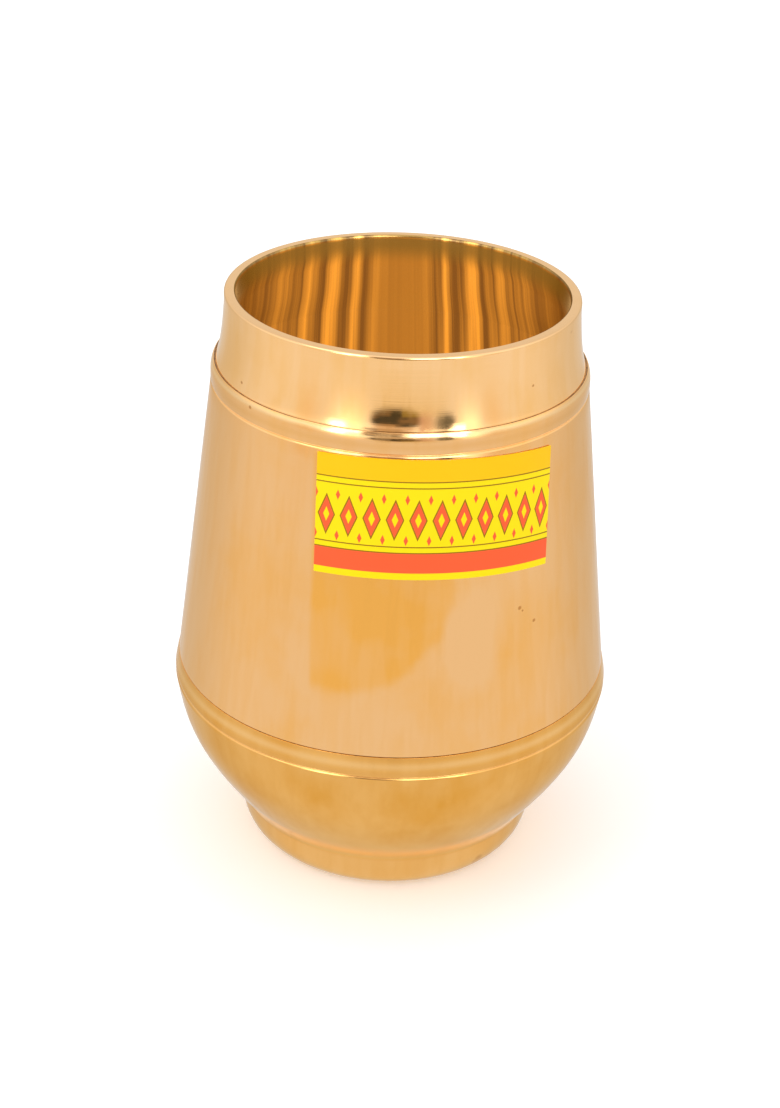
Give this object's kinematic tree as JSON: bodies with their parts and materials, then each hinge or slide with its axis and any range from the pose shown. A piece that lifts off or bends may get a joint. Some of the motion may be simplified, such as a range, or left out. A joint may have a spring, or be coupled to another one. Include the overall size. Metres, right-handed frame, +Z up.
{
  "type": "bronze tumbler",
  "caption": "Polished bronze drinking tumbler: flared neck, beaded shoulder, conical wall, round belly and a small foot, brazed from turned shells.",
  "frame": {"origin": "centre of the foot's underside, on the surface the tumbler stands on", "axes": "+Z up along the tumbler's axis, -Y towards the side that the label faces, +X to the right as seen from there"},
  "size_m": [0.075, 0.075, 0.1],
  "materials": {
    "bronze": "mirror polished, with fine turning lines on the neck",
    "braze": "dull brazing alloy in the lap joints",
    "label_print": "coated paper printed in flat yellow and orange-red",
    "label_glue": "pressure-sensitive adhesive film"
  },
  "bodies": {
    "root": {"neck_collar": "bronze", "body_shell": "bronze", "bowl_shell": "bronze", "foot_ring": "bronze", "neck_braze": "braze", "belly_braze": "braze", "foot_braze": "braze", "label_face": "label_print", "label_adhesive": "label_glue"}
  },
  "joints": []
}
